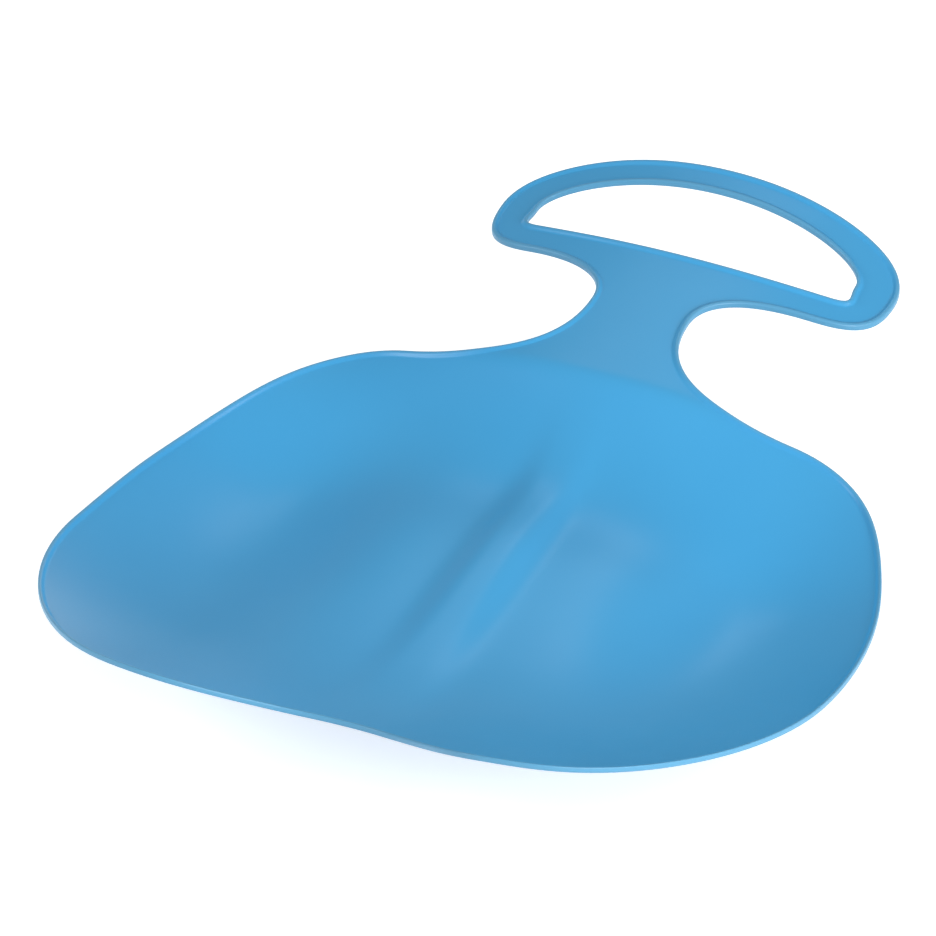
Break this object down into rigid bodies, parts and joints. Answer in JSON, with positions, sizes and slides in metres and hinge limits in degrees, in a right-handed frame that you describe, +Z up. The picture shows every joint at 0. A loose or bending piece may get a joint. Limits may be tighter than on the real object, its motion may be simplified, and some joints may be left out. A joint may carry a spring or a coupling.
{
  "type": "snow slider",
  "caption": "Heart-shaped dished plastic snow slider with two seat hollows, a centre ridge and a D-shaped hand grip on a short neck.",
  "frame": {"origin": "on the ground, under the middle of the slider's outline", "axes": "+X across to the sitter's right, +Y forward from the seat to the grip, +Z up"},
  "size_m": [0.407, 0.527, 0.0793],
  "materials": {
    "blue_plastic": "satin-gloss injection-moulded polyethylene with a very fine grain"
  },
  "bodies": {
    "root": {"seat_pan": "blue_plastic", "pan_rim": "blue_plastic", "neck_plate": "blue_plastic", "crossbar": "blue_plastic", "grip_bow": "blue_plastic", "handle_rim": "blue_plastic", "grip_rim": "blue_plastic"}
  },
  "joints": []
}
